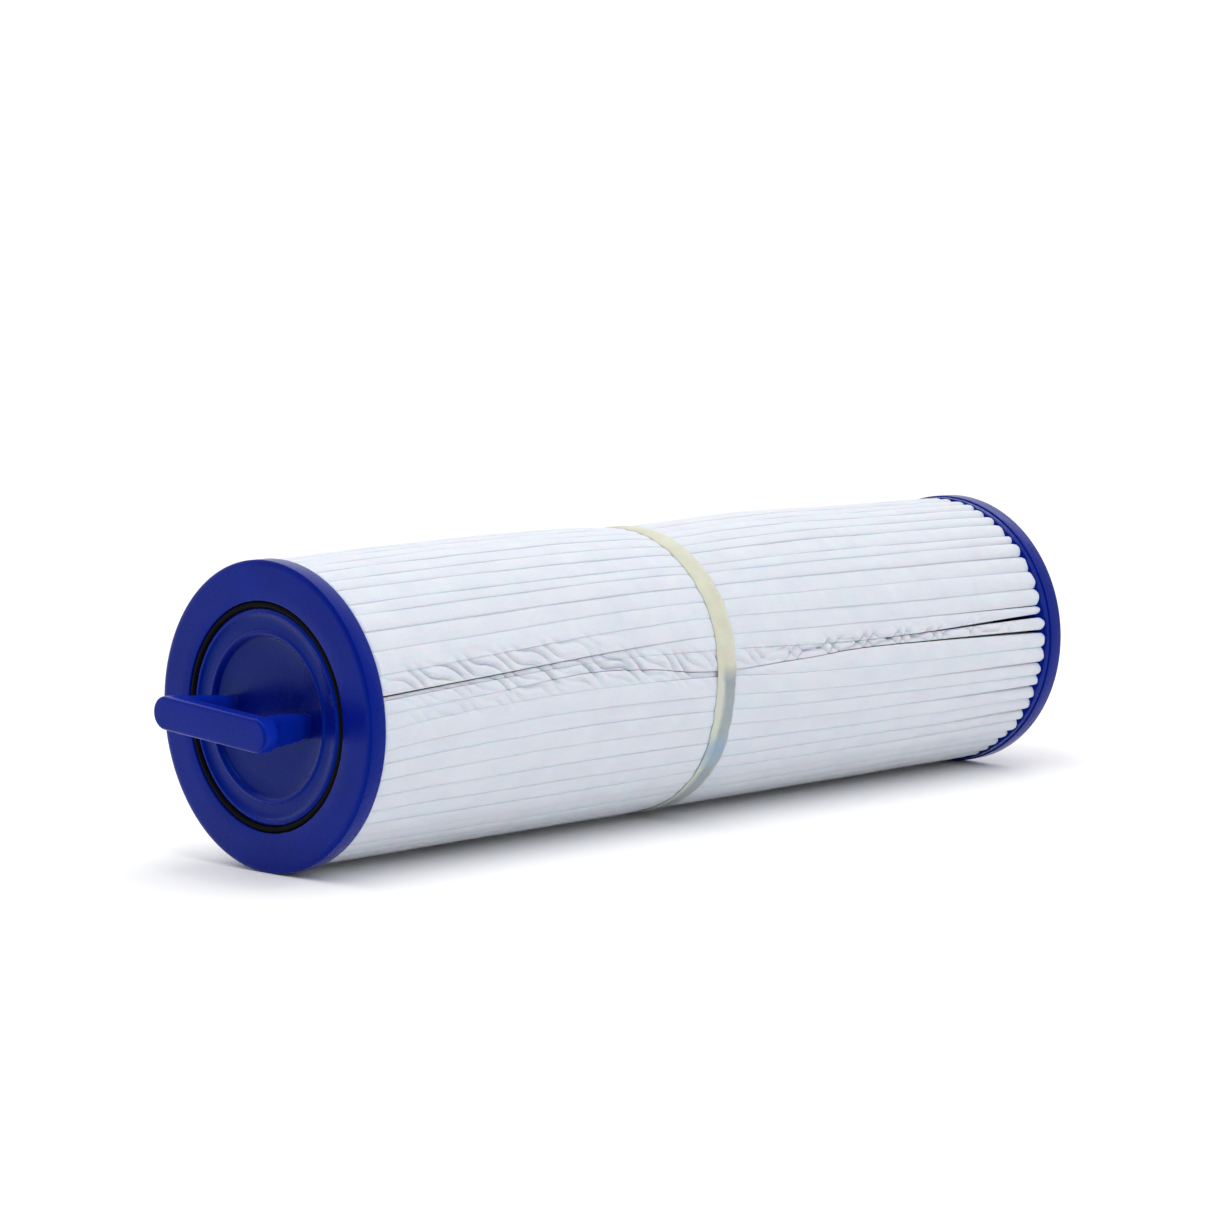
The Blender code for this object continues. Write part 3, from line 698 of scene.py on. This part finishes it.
def pleat_layout(x):
    """For each station and pleat: centre, half angle, half gap below, half gap above, crest
    radius and lean."""
    t = (x - FRONT_X) / BODY_LENGTH
    slow = smooth_noise(SEED + 1, PLEATS, (0.6, 1.4, 2.7))(t)
    pinch = bell(x, BAND_X, 12.0 * MM)[:, None]
    gap_mm = CLOSED_GAP + 0.15 * np.maximum(0.0, slow - 0.8)
    for number, near, middle, far in OPEN_GAPS:
        knots = ((8.0, near), (110.0, 0.4 * near + 0.6 * middle), (207.0, middle),
                 (330.0, middle + 0.15 * (far - middle)), (424.0, far))
        gap_mm[:, (MAIN_GAP + number) % PLEATS] += np.maximum(0.0, between(x, knots))
    half_gap = gap_mm * (1.0 - 0.35 * pinch) * MM / CREST_RADIUS / 2.0
    gaps = gap_angles(x)
    above = np.concatenate([gaps[:, 1:], gaps[:, :1] + 2.0 * math.pi], 1)
    gap_above = np.roll(half_gap, -1, axis=1)
    width = above - gap_above - gaps - half_gap
    centres = gaps + half_gap + width / 2.0
    tip_noise = smooth_noise(SEED + 3, PLEATS, (1.2, 3.0, 7.0))(t)
    fine = smooth_noise(SEED + 4, PLEATS, (17.0, 29.0, 47.0))(t)
    own = np.random.default_rng(SEED + 7).normal(0.0, 1.0, PLEATS)
    bulge = between(x, BULGE)[:, None] * np.maximum(0.0, np.sin(centres)) ** 1.5
    radii = CREST_RADIUS + np.minimum(0.45, 0.12 * tip_noise + 0.03 * fine + 0.08 * own) * MM + bulge * MM
    radii -= pinch * np.maximum(0.0, radii - (CREST_RADIUS + (bulge - 0.5) * MM))
    # A pleat squeezed narrower than 4 degrees sinks between its neighbours.
    radii -= 2.0 * MM * np.clip(1.0 - width / math.radians(4.0), 0.0, 1.0)
    tilt = smooth_noise(SEED + 5, PLEATS, (0.8, 1.9, 4.0))(t) * 0.15 * MM
    return centres, width / 2.0, half_gap, gap_above, radii, tilt


def crumple(x, angles, reach):
    """Slanting creases pressed into the crests beside the wandering gaps."""
    along = (x - FRONT_X)[:, None] / MM
    waver = smooth_noise(SEED + 12, 3, (3.0, 8.0, 15.0))((x - FRONT_X) / BODY_LENGTH)
    pressed = np.zeros_like(reach)
    for number, offset, width, pitch, slant, depth, amounts in CRUMPLES:
        path = np.radians(between(x, WANDERING[number]))[:, None]
        above = ((angles - path + math.pi) % (2.0 * math.pi) - math.pi) * CREST_RADIUS / MM
        turns = along / pitch + above / slant + 0.25 * waver[:, 1:2]
        crease = np.maximum(0.0, np.sin(2.0 * math.pi * turns)) ** 2
        amount = np.maximum(0.0, between(x, amounts))[:, None]
        amount = amount * bell(above, offset + 0.6 * waver[:, :1], width)
        pressed += amount * depth * crease
    top = np.clip((reach - (CREST_RADIUS - 2.5 * MM)) / (1.5 * MM), 0.0, 1.0)
    return reach - top * pressed * MM


def pleat_section(x):
    """Centre line of the folded cloth at every station: arrays (stations, points)."""
    centres, halves, gap_below, gap_above, radii, tilt = pleat_layout(x)
    angles, reach = [], []
    walls = (0.0, 0.6, 0.93)
    rise = between(x, RISE) * MM
    # A pleat's root is narrower than its crest by the first half angle, and never narrower than
    # the second.
    root_gap, least_root = math.radians(1.35), math.radians(0.35)
    for k in range(PLEATS):
        c, h, top, lean = centres[:, k], halves[:, k], radii[:, k], tilt[:, k]
        shoulder = top - rise
        # The crumpled pleats beside the main gap need a finer mesh than the rest.
        crest_steps = 14 if -3 < k - MAIN_GAP < 4 else 6
        roots = [np.maximum(h + gap[:, k] - root_gap, least_root) for gap in (gap_below, gap_above)]
        # valley bottom, then up the wall
        angles.append(c - h - gap_below[:, k])
        reach.append(np.full(len(x), VALLEY_RADIUS - 0.5 * MM))
        for share in walls:
            angles.append(c - h - (roots[0] - h) * (1.0 - share) ** 1.5)
            reach.append(VALLEY_RADIUS + (shoulder - VALLEY_RADIUS) * share)
        for i in range(crest_steps + 1):
            across = math.sin(math.pi * (i / crest_steps - 0.5))
            up = 1.0 - abs(across) ** 2.6
            angles.append(c + h * across)
            reach.append(shoulder + rise * up + lean * across * up)
        for share in walls[::-1]:
            angles.append(c + h + (roots[1] - h) * (1.0 - share) ** 1.5)
            reach.append(VALLEY_RADIUS + (shoulder - VALLEY_RADIUS) * share)
    return np.stack(angles, 1), np.stack(reach, 1)


def make_pleats(cloth):
    """The pleated sheet: one folded length of cloth closed into a ring."""
    ends = (FRONT_X + CAP_SKIRT + 0.05 * MM, REAR_X - CAP_SKIRT - 0.05 * MM)
    x = np.linspace(ends[0], ends[1], PLEAT_STATIONS)
    angles, reach = pleat_section(x)
    reach = crumple(x, angles, reach)
    stations, columns = angles.shape
    points = np.empty((stations, columns, 3))
    points[..., 0] = x[:, None]
    points[..., 1] = -reach * np.cos(angles)
    points[..., 2] = AXIS.z + reach * np.sin(angles)
    steps = np.linalg.norm(np.diff(points, axis=1, append=points[:, :1]), axis=2)
    faces = grid_faces(stations, columns, False, True)
    pleats = link_mesh("pleated_media_cloth", points.reshape(-1, 3), faces, 180.0)
    # Flat coordinates of the cloth, in metres: along the cartridge, and along the folds.
    run = np.concatenate([[0.0], np.cumsum(steps.mean(0))])
    layer = pleats.data.uv_layers.new(name="cloth")
    corner = np.empty(len(pleats.data.loops), int)
    pleats.data.loops.foreach_get("vertex_index", corner)
    column = corner % columns
    uv = np.stack([x[corner // columns], run[column]], 1)
    face_first = np.repeat(np.arange(0, len(corner), 4), 4)
    wraps = (column[face_first] == columns - 1) & (column == 0)
    uv[wraps, 1] = run[-1]
    layer.data.foreach_set("uv", uv.astype(np.float32).ravel())
    thick = pleats.modifiers.new("cloth_thickness", "SOLIDIFY")
    thick.thickness = CLOTH_THICKNESS
    thick.offset = 0.0
    finish_piece(pleats, cloth, "fleece_white", "pleated_media")


def make_seam(glue):
    """Bead of glue deep in the main gap, following its path."""
    x = np.linspace(FRONT_X + 9.0 * MM, REAR_X - 9.0 * MM, 90)
    path = np.radians(between(x, WANDERING[0]))
    half = 0.35 * MM
    rows = []
    lumps = smooth_noise(SEED + 9, 1, (9.0, 21.0, 37.0))((x - FRONT_X) / BODY_LENGTH)[:, 0]
    for x_here, angle, lump in zip(x, path, lumps):
        outline = ((42.0, -1.0), (45.5 + 0.4 * lump, -0.8), (46.0 + 0.4 * lump, 0.0),
                   (45.5 + 0.4 * lump, 0.8), (42.0, 1.0), (41.5, 0.0))
        rows.append([polar(x_here, angle + side * half / (r * MM), r * MM) for r, side in outline])
    columns = len(rows[0])
    faces = grid_faces(len(rows), columns, False, True)
    faces.append(tuple(range(columns)))
    last = (len(rows) - 1) * columns
    faces.append(tuple(range(last + columns - 1, last - 1, -1)))
    seam = link_mesh("pleat_seam_glue", [p for row in rows for p in row], faces)
    point_out(seam)
    finish_piece(seam, glue, "seam_glue", "pleat_seam")


def make_band(cream):
    """Domed bead of hot-melt round the pleats, a little wavy, with a bend and a lapped joint."""
    inner = (BAND_HIGH.z - BAND_LOW.z) / 2.0 - 0.9 * MM
    half = BAND_WIDTH / 2.0
    waves = smooth_noise(SEED + 6, 3, (5.0, 11.0, 23.0, 41.0))
    sides = 336
    section = [(-1.0, 0.0), (-1.02, 0.25), (-0.9, 0.62), (-0.62, 0.88), (-0.3, 0.98), (0.0, 1.0),
               (0.3, 0.98), (0.62, 0.88), (0.9, 0.62), (1.02, 0.25), (1.0, 0.0), (0.0, 0.0)]
    shares = np.arange(sides) / sides
    noise = waves(shares)
    joint = -math.radians(31.0)
    bend = math.radians(22.0)      # from the joint up to where the band bends towards the grip
    points = []
    for across, up in section:
        for j in range(sides):
            angle = 2.0 * math.pi * shares[j]
            away = (angle - joint + math.pi) % (2.0 * math.pi) - math.pi
            lap = math.exp(-(away / 0.10) ** 2)
            low = 0.5 - 0.5 * math.sin(angle)
            edge = 0.90 + 0.07 * low + 0.03 * noise[j, 0] * (1.0 if across < 0 else -1.0) + 0.02 * lap
            thick = (0.66 + 0.05 * noise[j, 1] + 0.22 * lap) * MM
            lift = 1.1 * MM * max(0.0, math.sin(angle)) ** 1.5
            towards_grip = 2.8 * MM * math.exp(-((away - bend) / 0.40) ** 2)
            shift = 0.12 * MM * noise[j, 2] - towards_grip
            points.append(polar(BAND_X + shift + half * across * edge, angle, inner + lift + thick * up))
    band = link_mesh("centre_band_melt", points, grid_faces(len(section), sides, True, True), 180.0)
    point_out(band)
    finish_piece(band, cream, "band_cream", "centre_band")


# ---------------------------------------------------------------- outlet end

def make_outlet(blue):
    """Threaded spigot: helical ridge cut as a height field, bore, flange and collar."""
    sides, rows_per_turn = 128, 10
    pitch, turns, rise = 2.2 * MM, 9, 1.25 * MM
    crest = 24.05 * MM
    tip_x = OUTLET_HIGH.x
    base_x = REAR_X + 2.0 * MM
    bore, neck = 19.0 * MM, 24.1 * MM
    rows = []

    def plain(x, radius):
        rows.append([polar(x, 2.0 * math.pi * j / sides, radius) for j in range(sides)])

    flange_back, flange_front = REAR_X - 5.9 * MM, REAR_X - 3.5 * MM
    plain(flange_back, 37.9 * MM)
    plain(flange_front, 37.9 * MM)
    plain(flange_front, neck)
    plain(REAR_X + 1.0 * MM, neck)
    plain(REAR_X + 1.4 * MM, crest - rise)
    for i in range(turns * rows_per_turn + 1):
        travelled = pitch * i / rows_per_turn
        row = []
        for j in range(sides):
            angle = 2.0 * math.pi * j / sides
            phase = (travelled / pitch - angle / (2.0 * math.pi)) % 1.0
            ridge = min(1.0, max(0.0, 2.9 * (0.5 - abs(phase - 0.5)) - 0.15))
            fade = max(0.0, min(1.0, travelled / pitch * 1.5, (turns - travelled / pitch) * 1.5))
            radius = crest - travelled / 32.0 - rise * (1.0 - fade * ridge)
            row.append(polar(base_x + travelled, angle, radius))
        rows.append(row)
    end = crest - rise - turns * pitch / 32.0
    plain(tip_x - 1.0 * MM, end - 0.1 * MM)
    plain(tip_x - 0.2 * MM, end - 0.7 * MM)
    plain(tip_x, end - 1.0 * MM)
    plain(tip_x, bore + 0.5 * MM)
    plain(tip_x - 0.5 * MM, bore)
    plain(flange_back - 2.0 * MM, bore)
    plain(flange_back - 2.0 * MM, 27.3 * MM)
    plain(OUTLET_LOW.x, 27.3 * MM)
    plain(OUTLET_LOW.x, 30.1 * MM)
    plain(flange_back, 30.1 * MM)
    faces = grid_faces(len(rows), sides, True, True)
    outlet = link_mesh("threaded_outlet_moulded", [p for row in rows for p in row], faces, 42.0)
    point_out(outlet)
    finish_piece(outlet, blue, "handle_blue", "threaded_outlet")


def finish_core(plastic):
    """The core sections keep their CAD shape and get the core's plastic."""
    for index in range(1, 5):
        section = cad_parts[f"core_section_{index}"]
        section.data.materials.clear()
        section.data.materials.append(plastic)


# ---------------------------------------------------------------- studio

def make_camera():
    back = Vector((-math.cos(CAMERA_AZIMUTH) * math.cos(CAMERA_ELEVATION),
                   -math.sin(CAMERA_AZIMUTH) * math.cos(CAMERA_ELEVATION),
                   math.sin(CAMERA_ELEVATION)))
    right = Vector((0.0, 0.0, 1.0)).cross(back).normalized()
    up = back.cross(right)
    right, up = right - up * CAMERA_ROLL, up + right * CAMERA_ROLL
    right.normalize()
    up.normalize()
    middle = Vector((FRONT_X + AIM_DEPTH, 0.0, AXIS.z))
    aim = middle - right * AIM_LEFT + up * AIM_UP
    data = bpy.data.cameras.new("camera")
    data.lens = CAMERA_LENS
    data.sensor_width = SENSOR
    data.clip_end = 50.0
    camera = bpy.data.objects.new("camera", data)
    rotation = Matrix((right, up, back)).transposed().to_4x4()
    camera.matrix_world = Matrix.Translation(aim + back * CAMERA_DISTANCE) @ rotation
    bpy.context.scene.collection.objects.link(camera)
    bpy.context.scene.camera = camera


def area_light(name, place, aim, width, height, power):
    data = bpy.data.lights.new(name, "AREA")
    data.shape = "RECTANGLE"
    data.size, data.size_y, data.energy = width, height, power
    light = bpy.data.objects.new(name, data)
    light.location = place
    light.rotation_euler = (Vector(aim) - Vector(place)).to_track_quat("-Z", "Y").to_euler()
    bpy.context.scene.collection.objects.link(light)


def make_studio():
    reach = 20.0
    corners = [(-reach, -reach, 0.0), (reach, -reach, 0.0), (reach, reach, 0.0), (-reach, reach, 0.0)]
    floor = link_mesh("studio_floor", corners, [(0, 1, 2, 3)])
    floor.data.materials.append(floor_paint())
    world = bpy.data.worlds.new("studio_world")
    bpy.context.scene.world = world
    world.use_nodes = True
    nodes, links = world.node_tree.nodes, world.node_tree.links
    background = nodes["Background"]
    background.inputs["Color"].default_value = (1.0, 1.0, 1.0, 1.0)
    split = nodes.new("ShaderNodeSeparateXYZ")
    links.new(nodes.new("ShaderNodeTexCoord").outputs["Generated"], split.inputs["Vector"])
    # Brighter overhead, and dimmer on the two sides that face the camera
    shades = []
    for axis, start, end, low, high in (("X", -1.0, -0.1, 0.55, 1.02), ("Y", -1.0, -0.1, 0.78, 1.0),
                                        ("Z", 0.30, 0.95, 1.0, 1.36)):
        shade = nodes.new("ShaderNodeMapRange")
        links.new(split.outputs[axis], shade.inputs["Value"])
        for key, value in (("From Min", start), ("From Max", end), ("To Min", low), ("To Max", high)):
            shade.inputs[key].default_value = value
        shades.append(shade.outputs["Result"])
    strength = shades[0]
    for shade in shades[1:]:
        product = nodes.new("ShaderNodeMath")
        product.operation = "MULTIPLY"
        links.new(strength, product.inputs[0])
        links.new(shade, product.inputs[1])
        strength = product.outputs["Value"]
    links.new(strength, background.inputs["Strength"])
    # Softboxes: a long one over the grip end, a tall one to the right of the camera, a small
    # one beyond the outlet end
    area_light("key_strip", (-0.42, -0.30, 1.16), (FRONT_X, 0.0, AXIS.z), 0.22, 1.0, 3.2)
    area_light("side_strip", (1.00, -0.90, 0.62), (0.0, 0.0, AXIS.z), 0.30, 1.1, 0.8)
    area_light("rim_strip", (1.07, 0.24, 0.86), (REAR_X, 0.0, AXIS.z), 0.9, 0.10, 0.6)
    bpy.context.scene.view_settings.view_transform = "Standard"


def main():
    make_camera()
    blue_cast, blue_moulded = cast_blue(), moulded_blue()
    make_caps(blue_cast)
    make_ring(ring_rubber())
    make_disc(blue_moulded)
    make_grip(blue_moulded)
    make_pleats(fleece())
    make_seam(seam_glue())
    make_band(melt_cream())
    make_outlet(blue_moulded)
    finish_core(core_plastic())
    make_studio()


main()
